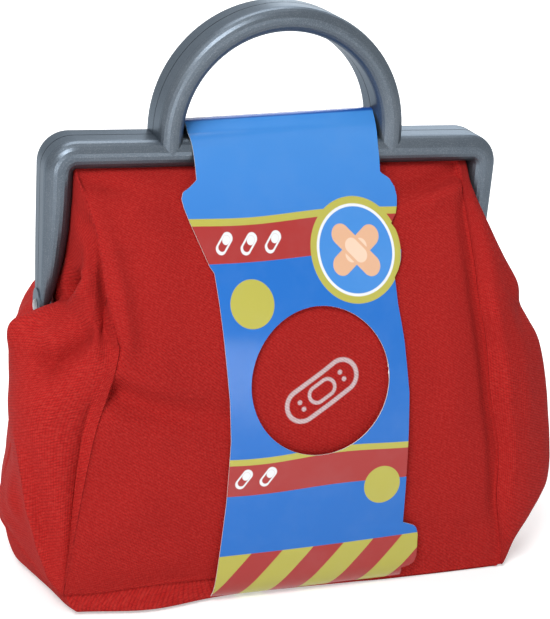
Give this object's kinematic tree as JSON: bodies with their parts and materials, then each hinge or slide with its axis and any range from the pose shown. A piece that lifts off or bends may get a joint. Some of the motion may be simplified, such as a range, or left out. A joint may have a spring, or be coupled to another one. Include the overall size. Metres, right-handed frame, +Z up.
{
  "type": "toy doctor case",
  "caption": "Child's soft doctor bag with a hinged two-part moulded carrying frame and handle, closed in a die-cut printed card sleeve.",
  "frame": {"origin": "centre of the bounding box's base, on the surface that the case stands on, midway between the two panels and under the middle of the handle", "axes": "+Z up along the case's height, +X to the right along the hinge line seen from the front, -Y out of the front panel"},
  "size_m": [0.2418, 0.1158, 0.2447],
  "materials": {
    "frame_plastic": "dark silver-grey metallic moulded plastic, satin gloss",
    "strip_plastic": "plain dark grey moulded plastic",
    "screw_steel": "zinc-plated countersunk screws",
    "rivet_steel": "plain steel rivets",
    "red_fabric": "woven red polyester, coated inside",
    "printed_card": null
  },
  "bodies": {
    "bag": {"front_panel": "red_fabric", "rear_panel": "red_fabric", "left_gusset": "red_fabric", "right_gusset": "red_fabric", "bottom_panel": "red_fabric", "card_sleeve": "printed_card", "hinge_rivet_left": "rivet_steel", "hinge_rivet_right": "rivet_steel"},
    "front_half": {"front_frame": "frame_plastic", "front_clamp_strip": "strip_plastic", "front_clamp_screws": "screw_steel"},
    "rear_half": {"rear_frame": "frame_plastic", "rear_clamp_strip": "strip_plastic", "rear_clamp_screws": "screw_steel"}
  },
  "joints": [
    {"name": "front_hinge", "type": "hinge", "parent": "bag", "child": "front_half", "pos_m": [0, 0, 0.117], "axis": [1, 0, 0], "range_deg": [0, 45], "deforming": ["front_panel", "left_gusset", "right_gusset", "card_sleeve"]},
    {"name": "rear_hinge", "type": "hinge", "parent": "bag", "child": "rear_half", "pos_m": [0, 0, 0.117], "axis": [-1, 0, 0], "range_deg": [0, 45], "deforming": ["rear_panel", "left_gusset", "right_gusset", "card_sleeve"]}
  ]
}
